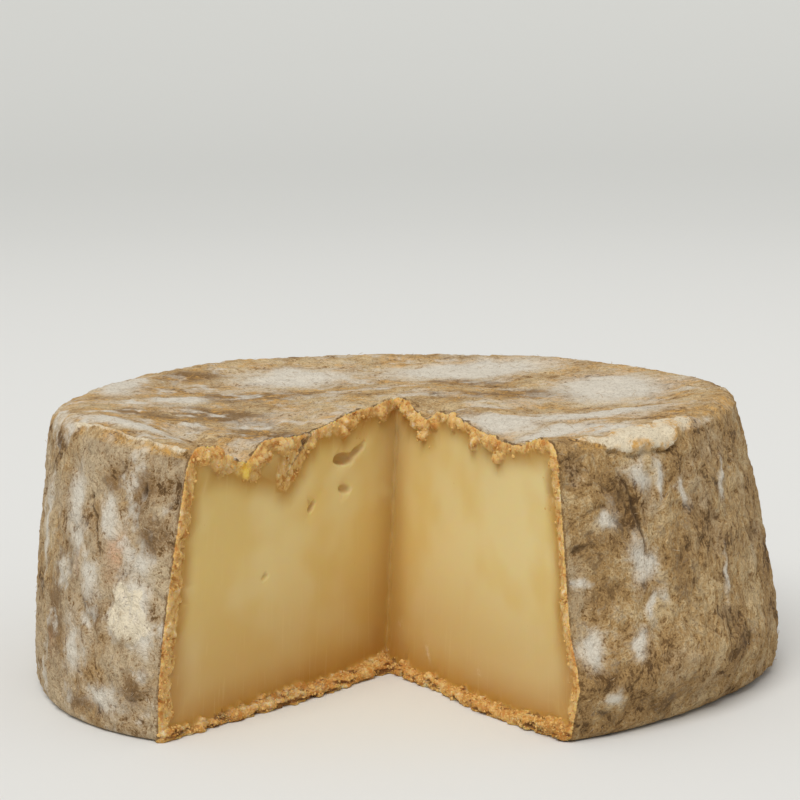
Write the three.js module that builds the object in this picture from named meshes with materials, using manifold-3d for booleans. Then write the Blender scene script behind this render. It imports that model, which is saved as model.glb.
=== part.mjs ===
// A small natural-rind cheese wheel with one wedge cut out of it.
//
// The wheel is one solid: a pressed disc that has slumped a little, so it is wider near its foot
// than at its rim, with a flat foot, a rounded rim and a soft, furrowed top. A wedge of about a sixth
// has been cut away at the front (-Y) with two strokes of a knife that weren't quite upright, and the
// left cut face has opened four small eyes in the paste.
//
// Millimetres, +Z up. The origin is the middle of the wheel's box, on the surface it stands on.

import * as THREE from "three";
import { mergeVertices } from "three/addons/utils/BufferGeometryUtils.js";
import Module from "manifold-3d";

// ---------------------------------------------------------------- driving dimensions

const HEIGHT = 73.5; // foot to rim
const RIM_ROUND = 5; // radius of the rounded edge between top and side
const SIDE_EASE = 1.45; // how late the side leans in on its way up to the rim
const SPREAD_HEIGHT = 15; // height of the low bulge where the right of the cut has spread
const SPREAD_WIDTH = 8; // how far up and down that bulge takes to fade

// The side's outline at seven bearings. A bearing is in degrees from the front (-Y), positive towards
// +X. rim is the radius the side would reach at full height, belly the widest radius, bellyZ the
// height of that widest place, foot the radius at the surface the wheel stands on, spread how far the
// low bulge stands out, and round the radius of the rounded edge between side and foot.
const STATIONS = [
  { bearing: -90, rim: 92.5, belly: 98.6, bellyZ: 12, foot: 98.4, spread: 0, round: 3 },
  { bearing: -48, rim: 93.6, belly: 101.6, bellyZ: 14, foot: 101.4, spread: 0, round: 2.5 },
  { bearing: -34, rim: 93.9, belly: 100.8, bellyZ: 16, foot: 99.6, spread: 0, round: 2.5 },
  { bearing: 24, rim: 91.2, belly: 95.3, bellyZ: 20, foot: 94.6, spread: 4, round: 3 },
  { bearing: 52, rim: 90, belly: 97.8, bellyZ: 18, foot: 93.5, spread: 2.5, round: 7 },
  { bearing: 90, rim: 88.6, belly: 101, bellyZ: 9, foot: 100.4, spread: 0, round: 4.5 },
  { bearing: 180, rim: 91.5, belly: 99, bellyZ: 22, foot: 97, spread: 0, round: 4.5 },
];

// The cut. Each face is ruled: at any height it is a straight line from the apex outwards.
const APEX_TOP = { x: -0.3, y: 0 };
const APEX_FOOT = { x: -5, y: -5 };
const LEFT_BEARING = { top: -32, foot: -36.2 };
const RIGHT_BEARING = { top: 24, foot: 29 };

// The top is a plain level with a raised ring inside the rim, a shallow dish in the middle, and slow
// waves around it and across it.
const TOP_LEVEL = 72.5;
const RING = { radius: 84, width: 7, height: 1.1 };
const DISH = { radius: 46, width: 20, depth: 1.6 };
const ROUND_WAVE = { height: 0.6, count: 3, phase: 0.6, length: 21 };
const CROSS_WAVE = { height: 0.4, count: 5, length: 13 };
const CALM_MIDDLE = 30; // the radius within which the waves die down

// Furrows where the top sags towards a cut face. radius is where the furrow is deepest, inner and
// outer how far it takes to fade towards the middle and the rim, and reach how far it runs back from
// the cut.
const FURROWS = [
  { bearing: LEFT_BEARING.top, radius: 71, depth: 6.8, inner: 5.5, outer: 13, reach: 22 },
  { bearing: LEFT_BEARING.top, radius: 50, depth: 2.2, inner: 20, outer: 14, reach: 20 },
  { bearing: RIGHT_BEARING.top, radius: 15.5, depth: 4.6, inner: 4.5, outer: 6.5, reach: 10 },
  { bearing: RIGHT_BEARING.top, radius: 69, depth: 2.6, inner: 20, outer: 9, reach: 16 },
];

// The eyes in the left cut face. Each is a run of overlapping ellipsoids. along is the distance out
// from the apex line, up the height, tilt the angle in the face, and size the three half-widths:
// along the face, up it and into the paste.
const EYES = [
  [
    { along: 25, up: 59.6, tilt: 6, size: [5.4, 1.7, 3.4] },
    { along: 19.2, up: 60.7, tilt: -18, size: [3.6, 1.2, 2] },
    { along: 16.2, up: 62, tilt: -55, size: [1.7, 0.9, 1.2] },
  ],
  [{ along: 23.8, up: 51.6, tilt: 12, size: [3.3, 1.4, 1.6] }],
  [{ along: 38.6, up: 49.2, tilt: -40, size: [2.2, 1.1, 1.6] }],
  [{ along: 56.6, up: 34.4, tilt: -20, size: [1.8, 0.8, 1] }],
];

const COLUMNS = 120; // steps around the wheel
const FOOT_RINGS = [0, 0.3, 0.65]; // shares of the foot's radius
const SIDE_RINGS = 12;
const ROUND_STEPS = 3;
const TOP_RINGS = 14;
const CUT_SLICES = 8; // slices up the height of the ruled cut
const CUT_RUNS = 10; // steps out along each face of the cut
const CUT_LENGTH = 130; // how far out from the apex the cutting solid reaches
const CUT_OVERRUN = 8; // how far it runs past the wheel above and below

// ---------------------------------------------------------------- small helpers

const radians = (degrees) => (degrees * Math.PI) / 180;
const mix = (a, b, t) => a + (b - a) * t;
const ease = (t) => t * t * (3 - 2 * t);
const bump = (offset, width) => Math.exp(-((offset / width) ** 2));

// The stations once around, with the first again at the end.
const LOOP = [...STATIONS, { ...STATIONS[0], bearing: STATIONS[0].bearing + 360 }];

// The outline at any bearing from -180 to 180, eased between the stations on each side of it.
function outlineAt(bearing) {
  const turned = bearing < LOOP[0].bearing ? bearing + 360 : bearing;
  const next = LOOP.findIndex((station) => station.bearing > turned);
  const before = LOOP[next - 1];
  const after = LOOP[next];
  const t = ease((turned - before.bearing) / (after.bearing - before.bearing));
  const outline = {};
  for (const key of Object.keys(before)) outline[key] = mix(before[key], after[key], t);
  return outline;
}

// The side's radius at a height: it bulges to the belly, then leans in to the rim and to the foot.
function sideRadius(outline, z) {
  const { rim, belly, bellyZ, foot, spread } = outline;
  const low = spread * bump(z - SPREAD_HEIGHT, SPREAD_WIDTH);
  if (z < bellyZ) return low + mix(belly, foot, ((bellyZ - z) / bellyZ) ** 2);
  return low + mix(belly, rim, ((z - bellyZ) / (HEIGHT - bellyZ)) ** SIDE_EASE);
}

// The height of the top, with the furrows taken from it.
function topHeight(bearing, radius) {
  const turn = radians(bearing);
  const ring = RING.height * bump(radius - RING.radius, RING.width);
  const dish = DISH.depth * bump(radius - DISH.radius, DISH.width);
  const round = Math.sin(ROUND_WAVE.count * turn + ROUND_WAVE.phase) * Math.sin(radius / ROUND_WAVE.length);
  const cross = Math.cos(CROSS_WAVE.count * turn - radius / CROSS_WAVE.length);
  const waves = ROUND_WAVE.height * round + CROSS_WAVE.height * cross;
  let sag = 0;
  for (const furrow of FURROWS) {
    const fade = radius < furrow.radius ? furrow.inner : furrow.outer;
    const back = radius * (turn - radians(furrow.bearing));
    sag += furrow.depth * bump(radius - furrow.radius, fade) * bump(back, furrow.reach);
  }
  return TOP_LEVEL + ring - dish + waves * (1 - bump(radius, CALM_MIDDLE)) - sag;
}

// The profile at one bearing, as radius and height, from the middle of the foot to the middle of the
// top. Every bearing gives the same number of points.
function profileAt(bearing) {
  const outline = outlineAt(bearing);
  const { round } = outline;
  const footInner = sideRadius(outline, round) - round;
  const rimInner = sideRadius(outline, HEIGHT - RIM_ROUND) - RIM_ROUND;
  const edgeHeight = topHeight(bearing, rimInner);
  const points = FOOT_RINGS.map((share) => [footInner * share, 0]);
  for (let i = 0; i < ROUND_STEPS; i++) {
    const turn = (Math.PI / 2) * (i / ROUND_STEPS);
    points.push([footInner + round * Math.sin(turn), round * (1 - Math.cos(turn))]);
  }
  for (let i = 0; i <= SIDE_RINGS; i++) {
    const z = mix(round, edgeHeight - RIM_ROUND, i / SIDE_RINGS);
    points.push([sideRadius(outline, z), z]);
  }
  for (let i = 1; i < ROUND_STEPS; i++) {
    const turn = (Math.PI / 2) * (i / ROUND_STEPS);
    points.push([rimInner + RIM_ROUND * Math.cos(turn), edgeHeight - RIM_ROUND * (1 - Math.sin(turn))]);
  }
  for (let i = TOP_RINGS; i >= 0; i--) {
    const radius = (rimInner * i) / TOP_RINGS;
    points.push([radius, topHeight(bearing, radius)]);
  }
  return points;
}

// ---------------------------------------------------------------- the uncut wheel

// A lathe gives the faces, and each of its points is then moved to its place on the slumped wheel.
function uncutWheel() {
  const plain = profileAt(0).map(([radius, z]) => new THREE.Vector2(radius, z));
  const geometry = new THREE.LatheGeometry(plain, COLUMNS);
  const position = geometry.getAttribute("position");
  for (let column = 0; column <= COLUMNS; column++) {
    const bearing = 360 * ((column % COLUMNS) / COLUMNS) - 180;
    profileAt(bearing).forEach(([radius, z], row) => {
      const turn = radians(bearing);
      const point = column * plain.length + row;
      position.setXYZ(point, radius * Math.sin(turn), -radius * Math.cos(turn), z);
    });
  }
  return geometry;
}

// ---------------------------------------------------------------- the cut

// The apex and the two bearings of the cut at a height.
function cutAt(z) {
  const t = z / HEIGHT;
  return {
    x: mix(APEX_FOOT.x, APEX_TOP.x, t),
    y: mix(APEX_FOOT.y, APEX_TOP.y, t),
    left: radians(mix(LEFT_BEARING.foot, LEFT_BEARING.top, t)),
    right: radians(mix(RIGHT_BEARING.foot, RIGHT_BEARING.top, t)),
  };
}

// The solid that is taken out: a stack of thin slices, each running out along the left face and back
// along the right one.
function wedge() {
  const vertices = [];
  const faces = [];
  const around = 2 * CUT_RUNS + 1;
  for (let i = 0; i <= CUT_SLICES; i++) {
    const z = mix(-CUT_OVERRUN, HEIGHT + CUT_OVERRUN, i / CUT_SLICES);
    const { x, y, left, right } = cutAt(z);
    for (let j = -CUT_RUNS; j <= CUT_RUNS; j++) {
      const turn = j < 0 ? left : right;
      const out = (CUT_LENGTH * Math.abs(j)) / CUT_RUNS;
      vertices.push(x + out * Math.sin(turn), y - out * Math.cos(turn), z);
    }
  }
  for (let i = 0; i < CUT_SLICES; i++) {
    for (let j = 0; j < around; j++) {
      const a = around * i + j;
      const b = around * i + ((j + 1) % around);
      faces.push(a, b + around, b, a, a + around, b + around);
    }
  }
  const top = around * CUT_SLICES;
  for (let j = 1; j <= CUT_RUNS; j++) {
    const left = CUT_RUNS - j;
    const right = CUT_RUNS + j;
    faces.push(left, left + 1, right - 1, top + left, top + right - 1, top + left + 1);
    faces.push(left, right - 1, right, top + left, top + right, top + right - 1);
  }
  const geometry = new THREE.BufferGeometry();
  geometry.setAttribute("position", new THREE.Float32BufferAttribute(vertices, 3));
  geometry.setIndex(faces);
  return geometry;
}

// One ellipsoid of an eye, with its middle on the left cut face.
function eyeLobe({ along, up, tilt, size }) {
  const { x, y, left } = cutAt(up);
  const lobe = new THREE.SphereGeometry(1, 14, 10);
  lobe.scale(size[0], size[2], size[1]);
  lobe.rotateY(radians(-tilt));
  lobe.rotateZ(left - Math.PI / 2);
  lobe.translate(x + along * Math.sin(left), y - along * Math.cos(left), up);
  return lobe;
}

// ---------------------------------------------------------------- joining and cutting

const wasm = await Module();
wasm.setup();

function solid(geometry) {
  geometry.deleteAttribute("normal");
  geometry.deleteAttribute("uv");
  const merged = mergeVertices(geometry, 1e-3);
  const vertProperties = new Float32Array(merged.getAttribute("position").array);
  const triVerts = new Uint32Array(merged.index.array);
  return new wasm.Manifold(new wasm.Mesh({ numProp: 3, vertProperties, triVerts }));
}

function geometryOf(manifold) {
  const mesh = manifold.getMesh();
  const geometry = new THREE.BufferGeometry();
  geometry.setAttribute("position", new THREE.BufferAttribute(mesh.vertProperties, 3));
  geometry.setIndex(new THREE.BufferAttribute(mesh.triVerts, 1));
  return geometry;
}

let wheel = solid(uncutWheel()).subtract(solid(wedge()));
for (const lobe of EYES.flat()) wheel = wheel.subtract(solid(eyeLobe(lobe)));

// ---------------------------------------------------------------- the part

const cheese = new THREE.MeshStandardMaterial({ color: 0xb9a98a, roughness: 0.85, metalness: 0 });
const mesh = new THREE.Mesh(geometryOf(wheel), cheese);
mesh.name = "cheese_wheel";
mesh.geometry.computeBoundingBox();
const middle = mesh.geometry.boundingBox.getCenter(new THREE.Vector3());
mesh.position.set(-middle.x, -middle.y, 0);

const part = new THREE.Group();
part.add(mesh);

export default part;
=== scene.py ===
# %% [markdown]
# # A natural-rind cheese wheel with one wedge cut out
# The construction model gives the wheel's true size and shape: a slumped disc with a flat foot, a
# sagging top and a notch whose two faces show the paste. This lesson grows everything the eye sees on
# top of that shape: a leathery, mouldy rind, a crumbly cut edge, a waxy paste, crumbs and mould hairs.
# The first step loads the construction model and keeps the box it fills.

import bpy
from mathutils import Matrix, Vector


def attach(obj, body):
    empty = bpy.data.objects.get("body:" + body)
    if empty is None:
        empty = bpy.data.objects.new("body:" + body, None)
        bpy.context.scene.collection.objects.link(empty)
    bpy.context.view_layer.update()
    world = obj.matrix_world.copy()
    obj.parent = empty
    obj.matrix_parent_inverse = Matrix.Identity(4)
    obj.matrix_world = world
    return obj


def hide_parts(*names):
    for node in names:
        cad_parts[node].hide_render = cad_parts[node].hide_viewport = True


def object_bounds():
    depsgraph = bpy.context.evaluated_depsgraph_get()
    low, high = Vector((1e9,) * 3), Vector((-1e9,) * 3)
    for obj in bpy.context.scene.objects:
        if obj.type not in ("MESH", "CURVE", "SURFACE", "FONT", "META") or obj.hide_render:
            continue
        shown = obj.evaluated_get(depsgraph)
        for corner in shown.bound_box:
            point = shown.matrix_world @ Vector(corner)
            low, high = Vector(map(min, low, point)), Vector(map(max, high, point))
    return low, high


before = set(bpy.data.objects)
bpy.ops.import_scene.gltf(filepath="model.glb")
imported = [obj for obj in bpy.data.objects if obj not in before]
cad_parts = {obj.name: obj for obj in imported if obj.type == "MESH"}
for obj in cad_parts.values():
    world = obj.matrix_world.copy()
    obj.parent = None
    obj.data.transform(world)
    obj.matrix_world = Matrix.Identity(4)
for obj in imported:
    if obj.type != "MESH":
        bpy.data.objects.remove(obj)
cad_low, cad_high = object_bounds()
print("construction box, mm:", [round(1000 * side, 1) for side in cad_high - cad_low])

# %% [markdown]
# Blender works in metres, but a cheese is easier to think about in millimetres, so lengths are
# written as a number of `MM`. Fields that are stored on the mesh and read by materials are plain
# numbers of millimetres.

# %% Modules and units
import math

import bmesh
import bpy
import numpy as np
from mathutils import Matrix, Vector
from mathutils.bvhtree import BVHTree

MM = 0.001
scene = bpy.context.scene

# %% [markdown]
# The wheel's own axis isn't the middle of its box, because the notch has taken some of its front
# away. The widest radius on the left is 98.6 mm and at the back 99 mm, so the axis is that far in from
# those sides of the box. The cut is two knife strokes that meet in a leaning line, the apex, and turn
# a little on their way down. Bearings are in degrees from the front, positive towards +X.

# %% The wheel's axis and its cut
AXIS = np.array([cad_low.x + 98.6 * MM, cad_high.y - 99 * MM]) / MM
HEIGHT = 73.5
APEX_TOP = np.array([-0.3, 0.0])
APEX_FOOT = np.array([-5.0, -5.0])
LEFT_CUT = {"top": -32.0, "foot": -36.2}
RIGHT_CUT = {"top": 24.0, "foot": 29.0}
print("axis, mm:", AXIS.round(2))

# %% [markdown]
# ## Camera
# A long lens a good way off keeps the perspective calm: the top is seen as a thin ellipse and both
# faces of the notch stay open to view. The camera looks slightly down and is rolled by less than a
# degree. Its matrix is a product: the place, the tilt about X, then the roll about its own Z.

# %% Camera
CAMERA_BACK = 700 * MM
CAMERA_HEIGHT = 171.4 * MM
CAMERA_TILT = math.radians(90 - 8.1)
CAMERA_ROLL = math.radians(-0.9)
CAMERA_LENS = 118.5

camera_data = bpy.data.cameras.new("camera")
camera_data.lens = CAMERA_LENS
camera_data.sensor_width = 36
camera_data.clip_start = 0.01
camera = bpy.data.objects.new("camera", camera_data)
camera_place = Vector((AXIS[0] * MM, AXIS[1] * MM - CAMERA_BACK, CAMERA_HEIGHT))
camera.matrix_world = (
    Matrix.Translation(camera_place)
    @ Matrix.Rotation(CAMERA_TILT, 4, "X")
    @ Matrix.Rotation(CAMERA_ROLL, 4, "Z")
)
scene.collection.objects.link(camera)
scene.camera = camera

# %% [markdown]
# ## Node trees as arithmetic
# Both Geometry Nodes and materials are graphs of the same kind. Placing nodes one by one is long to
# read, so a `Graph` makes a node from its type, its settings and its inputs, and a `Field` wraps an
# output so that `a * b + 1` adds the Math nodes by itself. The same two classes serve every tree here.

# %% Graph and Field
class Field:
    """One output of a node, with the arithmetic that this lesson uses."""

    def __init__(self, graph, socket):
        self.graph = graph
        self.socket = socket

    def _math(self, operation, *values):
        return self.graph.node("ShaderNodeMath", {"operation": operation}, values)

    def __add__(self, other):
        return self._math("ADD", self, other)

    def __radd__(self, other):
        return self._math("ADD", other, self)

    def __sub__(self, other):
        return self._math("SUBTRACT", self, other)

    def __rsub__(self, other):
        return self._math("SUBTRACT", other, self)

    def __mul__(self, other):
        return self._math("MULTIPLY", self, other)

    def __rmul__(self, other):
        return self._math("MULTIPLY", other, self)

    def __truediv__(self, other):
        return self._math("DIVIDE", self, other)

    def __rtruediv__(self, other):
        return self._math("DIVIDE", other, self)

    def __pow__(self, other):
        return self._math("POWER", self, other)

    def __abs__(self):
        return self._math("ABSOLUTE", self)

    def most(self, other):
        return self._math("MAXIMUM", self, other)


class Graph:
    """A node tree, built by calls that each add one node and give back its output."""

    def __init__(self, tree):
        self.tree = tree

    def node(self, kind, settings=None, inputs=(), output=0):
        made = self.tree.nodes.new(kind)
        for name, value in (settings or {}).items():
            setattr(made, name, value)
        pairs = inputs.items() if isinstance(inputs, dict) else enumerate(inputs)
        for key, value in pairs:
            if isinstance(value, Field):
                self.tree.links.new(value.socket, made.inputs[key])
            elif value is not None:
                made.inputs[key].default_value = value
        return Field(self, made.outputs[output])

    def step(self, value, low, high):
        """0 below low, 1 above high, eased in between; low may be the larger one."""
        settings = {"interpolation_type": "SMOOTHSTEP"}
        return self.node("ShaderNodeMapRange", settings, {0: value, 1: low, 2: high})

    def noise(self, where, size, detail=2.0, rough=0.5, output=0):
        """Noise about 0 to 1 whose blotches are about size across, in the unit of where."""
        inputs = {"Vector": where, "Scale": 1 / size, "Detail": detail, "Roughness": rough}
        return self.node("ShaderNodeTexNoise", None, inputs, output)

    def stretch(self, where, x, y, z):
        """The place divided by x, y and z, so that a pattern grows that much longer along them."""
        factors = (1 / x, 1 / y, 1 / z)
        return self.node("ShaderNodeVectorMath", {"operation": "MULTIPLY"}, (where, factors))

    def shift(self, where, offset):
        return self.node("ShaderNodeVectorMath", {"operation": "ADD"}, (where, offset))

    def scaled(self, vector, amount):
        return self.node("ShaderNodeVectorMath", {"operation": "SCALE"}, {0: vector, 3: amount})

    def swirl(self, where, size, amount):
        """The place pushed about by up to about amount, so that patterns on it flow and fold."""
        push = self.noise(where, size, 2, 0.5, output=1)
        return self.shift(where, self.scaled(self.shift(push, (-0.5, -0.5, -0.5)), amount * 2))

    def part(self, vector, axis):
        return self.node("ShaderNodeSeparateXYZ", None, (vector,), axis)

    def blend(self, low, high, factor):
        """Colour low where factor is 0 and colour high where it is 1."""
        settings = {"data_type": "RGBA", "clamp_factor": True}
        colours = [c if isinstance(c, Field) else (*c, 1.0) for c in (low, high)]
        return self.node("ShaderNodeMix", settings, {0: factor, 6: colours[0], 7: colours[1]}, 2)

    # The rest is for Geometry Nodes only.

    def stored(self, name, kind="FLOAT"):
        return self.node("GeometryNodeInputNamedAttribute", {"data_type": kind}, {"Name": name})

    def keep(self, geometry, name, value):
        settings = {"data_type": "FLOAT", "domain": "POINT"}
        inputs = {"Geometry": geometry, "Name": name, "Value": value}
        return self.node("GeometryNodeStoreNamedAttribute", settings, inputs)

    def chance(self, low, high, seed):
        """A random number for each element, or a random vector when low is a tuple."""
        vector = isinstance(low, tuple)
        settings = {"data_type": "FLOAT_VECTOR" if vector else "FLOAT"}
        first = 0 if vector else 2
        inputs = {first: low, first + 1: high, "Seed": seed}
        return self.node("FunctionNodeRandomValue", settings, inputs, 0 if vector else 1)

    def scatter(self, given, density):
        """Random points on the given mesh, about density of them to a square millimetre."""
        inputs = {"Mesh": given["Geometry"], "Density": density * given["Density"] * 1e6}
        inputs["Seed"] = given["Seed"]
        return self.node("GeometryNodeDistributePointsOnFaces", {"distribute_method": "RANDOM"}, inputs)

    def move(self, geometry, offset):
        return self.node("GeometryNodeSetPosition", None, {"Geometry": geometry, "Offset": offset})


# %% [markdown]
# ## Stage and light
# The floor is a wide shallow bowl, so that it has no visible horizon from any side: flat under the
# wheel, and curving up far away. Revolving one profile makes it. An even sky and one very wide, soft
# sun from the front left light near and far alike, and the two faces of the notch differ only a little.
# The floor's colour carries painted shade instead: it darkens with distance from the wheel.

# %% Floor
FLOOR_RINGS = [(0.0, 0.0), (0.5, 0.0), (1.6, 0.0), (2.4, 0.02), (3.0, 0.12), (3.5, 0.4), (3.7, 0.9)]
FLOOR_SPOKES = 96


def bowl_mesh(name, rings, spokes):
    turns = np.linspace(0, 2 * np.pi, spokes, endpoint=False)
    points = [(0.0, 0.0, 0.0)]
    for radius, height in rings[1:]:
        points += [(radius * math.cos(t), radius * math.sin(t), height) for t in turns]
    faces = [(0, 1 + i, 1 + (i + 1) % spokes) for i in range(spokes)]
    for ring in range(len(rings) - 2):
        inner = 1 + ring * spokes
        outer = inner + spokes
        for i in range(spokes):
            j = (i + 1) % spokes
            faces.append((inner + i, outer + i, outer + j, inner + j))
    mesh = bpy.data.meshes.new(name)
    mesh.from_pydata(points, [], faces)
    mesh.shade_smooth()
    return mesh


floor = bpy.data.objects.new("floor", bowl_mesh("floor", FLOOR_RINGS, FLOOR_SPOKES))
scene.collection.objects.link(floor)

floor_paint = bpy.data.materials.new("floor_paint")
floor_paint.use_nodes = True
floor_shader = floor_paint.node_tree.nodes["Principled BSDF"]
floor_graph = Graph(floor_paint.node_tree)
floor_place = floor_graph.node("ShaderNodeTexCoord", None, (), 3)
floor_reach = floor_graph.node("ShaderNodeVectorMath", {"operation": "LENGTH"}, (floor_place,), 1)
# Painted shade: the floor's colour darkens with distance, standing for light falling off far away.
floor_far_shade = floor_graph.step(floor_reach, 0.1, 2.4)
floor_colour = floor_graph.blend((0.735, 0.735, 0.72), (0.555, 0.56, 0.545), floor_far_shade)
floor_paint.node_tree.links.new(floor_colour.socket, floor_shader.inputs["Base Color"])
floor_shader.inputs["Roughness"].default_value = 0.9
floor_shader.inputs["Specular IOR Level"].default_value = 0.1
floor.data.materials.append(floor_paint)

# %% Sky and sun
SKY_STRENGTH = 0.56
SUN_FROM = Vector((-0.18, -0.58, 0.80))
SUN_STRENGTH = 2.0
SUN_SPREAD = math.radians(40)

world = bpy.data.worlds.new("sky")
world.use_nodes = True
world.node_tree.nodes["Background"].inputs["Color"].default_value = (1.0, 1.0, 0.99, 1)
world.node_tree.nodes["Background"].inputs["Strength"].default_value = SKY_STRENGTH
scene.world = world
scene.view_settings.view_transform = "Standard"

sun_data = bpy.data.lights.new("sun", "SUN")
sun_data.energy = SUN_STRENGTH
sun_data.angle = SUN_SPREAD
sun_data.color = (1.0, 0.985, 0.955)
sun = bpy.data.objects.new("sun", sun_data)
sun.location = SUN_FROM
sun.rotation_euler = SUN_FROM.to_track_quat("Z", "Y").to_euler()
scene.collection.objects.link(sun)

# %% [markdown]
# ## From construction solid to workable skin
# The construction solid has a few thousand large flat faces, which is right for its size and too
# coarse for looks. A copy of it has its doubled points merged, and a voxel Remesh can turn it into an
# even, closed net with the same outline. It is done twice: once coarsely, as a guide for placing
# crumbs on the cut rind, and once finely, when the crumbs have been joined to the solid.

# %% Mesh helpers
def evaluated_copy(source, name):
    """A new plain mesh object holding what source looks like with its modifiers."""
    graph = bpy.context.evaluated_depsgraph_get()
    mesh = bpy.data.meshes.new_from_object(source.evaluated_get(graph), depsgraph=graph)
    mesh.name = name
    made = bpy.data.objects.new(name, mesh)
    scene.collection.objects.link(made)
    return made


def remeshed(source, name, voxel):
    made = bpy.data.objects.new(name, source.data.copy())
    scene.collection.objects.link(made)
    remesh = made.modifiers.new("remesh", "REMESH")
    remesh.mode = "VOXEL"
    remesh.voxel_size = voxel
    result = evaluated_copy(made, name)
    bpy.data.objects.remove(made)
    return result


def set_inputs(modifier, values):
    for item in modifier.node_group.interface.items_tree:
        if item.item_type == "SOCKET" and item.in_out == "INPUT" and item.name in values:
            modifier[item.identifier] = values[item.name]


def run_tree(source, tree, values, name):
    """What the tree makes of source, as a new plain mesh object."""
    nodes = source.modifiers.new(tree.name, "NODES")
    nodes.node_group = tree
    set_inputs(nodes, values)
    made = evaluated_copy(source, name)
    source.modifiers.remove(nodes)
    return made


def new_tree(name, values, extra=()):
    """A Geometry Nodes tree with one named number input for each value, ready to build on."""
    tree = bpy.data.node_groups.new(name, "GeometryNodeTree")
    tree.interface.new_socket("Geometry", in_out="INPUT", socket_type="NodeSocketGeometry")
    for label, value in values.items():
        kind = "NodeSocketInt" if isinstance(value, int) else "NodeSocketFloat"
        tree.interface.new_socket(label, in_out="INPUT", socket_type=kind).default_value = value
    tree.interface.new_socket("Geometry", in_out="OUTPUT", socket_type="NodeSocketGeometry")
    graph = Graph(tree)
    source = tree.nodes.new("NodeGroupInput")
    given = {label: Field(graph, source.outputs[label]) for label in ("Geometry", *values)}
    return graph, given


def finish_tree(graph, geometry, material):
    geometry = graph.node("GeometryNodeRealizeInstances", None, {"Geometry": geometry})
    geometry = graph.node("GeometryNodeSetMaterial", None, {"Geometry": geometry, "Material": material})
    sink = graph.tree.nodes.new("NodeGroupOutput")
    graph.tree.links.new(geometry.socket, sink.inputs["Geometry"])


def read(mesh, what):
    source = mesh.vertices if what == "co" else mesh.vertex_normals
    values = np.empty(len(mesh.vertices) * 3, np.float32)
    source.foreach_get("co" if what == "co" else "vector", values)
    return values.reshape(-1, 3).astype(float)


def store(mesh, name, values):
    if values.ndim == 2:
        attribute = mesh.attributes.new(name, "FLOAT_VECTOR", "POINT")
        attribute.data.foreach_set("vector", values.astype(np.float32).ravel())
        return
    attribute = mesh.attributes.new(name, "FLOAT", "POINT")
    attribute.data.foreach_set("value", values.astype(np.float32))


cad_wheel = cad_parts["cheese_wheel"]
unwelded = bpy.data.objects.new("unwelded", cad_wheel.data.copy())
unwelded.data.materials.clear()
scene.collection.objects.link(unwelded)
weld = unwelded.modifiers.new("weld", "WELD")
weld.merge_threshold = 0.002 * MM
solid = evaluated_copy(unwelded, "wheel_solid")
bpy.data.objects.remove(unwelded)
print("solid faces", len(solid.data.polygons))

# %% [markdown]
# ## Where each point is
# Every later step asks the same questions of a point: how far is it from the cut, how deep under the
# rind, and where along the cut? They are answered for all points together, in numpy. A ruled cut face
# at a given height is a straight line from the apex, so the distance to it is a dot product.

# %% Distances to the cut
def eased(value, low, high):
    t = np.clip((value - low) / (high - low), 0, 1)
    return t * t * (3 - 2 * t)


def cut_lines(z):
    """The apex, and the outward direction and open-side normal of each cut face, at heights z."""
    t = (z / HEIGHT)[:, None]
    apex = APEX_FOOT * (1 - t) + APEX_TOP * t
    lines = []
    for cut, turn in ((LEFT_CUT, 1), (RIGHT_CUT, -1)):
        bearing = np.radians(cut["foot"] * (1 - t[:, 0]) + cut["top"] * t[:, 0])
        out = np.stack([np.sin(bearing), -np.cos(bearing)], 1)
        normal = turn * np.stack([np.cos(bearing), np.sin(bearing)], 1)
        lines.append((out, normal))
    return apex, lines


def measure(points):
    """inward: distance behind the cut, negative in front of it. left: whether the left face is the
    nearer one. run: distance out from the apex. push: the direction out of the cut face."""
    apex, lines = cut_lines(points[:, 2])
    arm = points[:, :2] - AXIS - apex
    open_side = [(arm * normal).sum(1) for _, normal in lines]
    runs = [(arm * out).sum(1) for out, _ in lines]
    inside_notch = (open_side[0] > 0) & (open_side[1] > 0)
    away = [np.where(run > 0, np.abs(side), np.hypot(*arm.T)) for run, side in zip(runs, open_side)]
    left = away[0] <= away[1]
    nearer = np.where(left, away[0], away[1])
    run = np.maximum(np.where(left, runs[0], runs[1]), 0)
    normals = np.where(left[:, None], lines[0][1], lines[1][1])
    middle = lines[0][1] + lines[1][1]
    middle /= np.linalg.norm(middle, axis=1)[:, None]
    at_apex = (1 - eased(run, 0, 7))[:, None]
    push = normals * (1 - at_apex) + 1.5 * middle * at_apex
    return {
        "inward": np.where(inside_notch, -nearer, nearer),
        "left": left,
        "run": run,
        "push": np.concatenate([push, np.zeros((len(points), 1))], 1),
    }


# %% [markdown]
# How deep a point of the cut lies under the rind is its distance to the nearest outer face of the
# solid, which a BVH tree finds quickly. The eyes in the paste are not outer faces, and neither are the
# cut faces, so both are left out of the tree.

# %% Depth under the rind
SKIN_LOW = 0.6
SKIN_SIDE = 84.0
SKIN_TOP = 64.4
NEAR_CUT = 5.0

solid_points = read(solid.data, "co") / MM
middles = np.array([solid_points[list(face.vertices)].mean(0) for face in solid.data.polygons])
reach = np.hypot(*(middles[:, :2] - AXIS).T)
outer = (middles[:, 2] < SKIN_LOW) | (middles[:, 2] > SKIN_TOP) | (reach > SKIN_SIDE)
outer &= measure(middles)["inward"] > 0.05
outer_faces = [tuple(face.vertices) for face, keep in zip(solid.data.polygons, outer) if keep]
skin = BVHTree.FromPolygons([tuple(p) for p in solid_points], outer_faces)


def under_skin(points, inward):
    """The depth under the rind and the nearest place of the rind, for points near the cut."""
    depth = np.zeros(len(points))
    nearest = points.copy()
    for i in np.flatnonzero(inward < NEAR_CUT):
        place, _, _, gap = skin.find_nearest(Vector(points[i]))
        depth[i] = gap
        nearest[i] = place
    return depth, nearest


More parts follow.
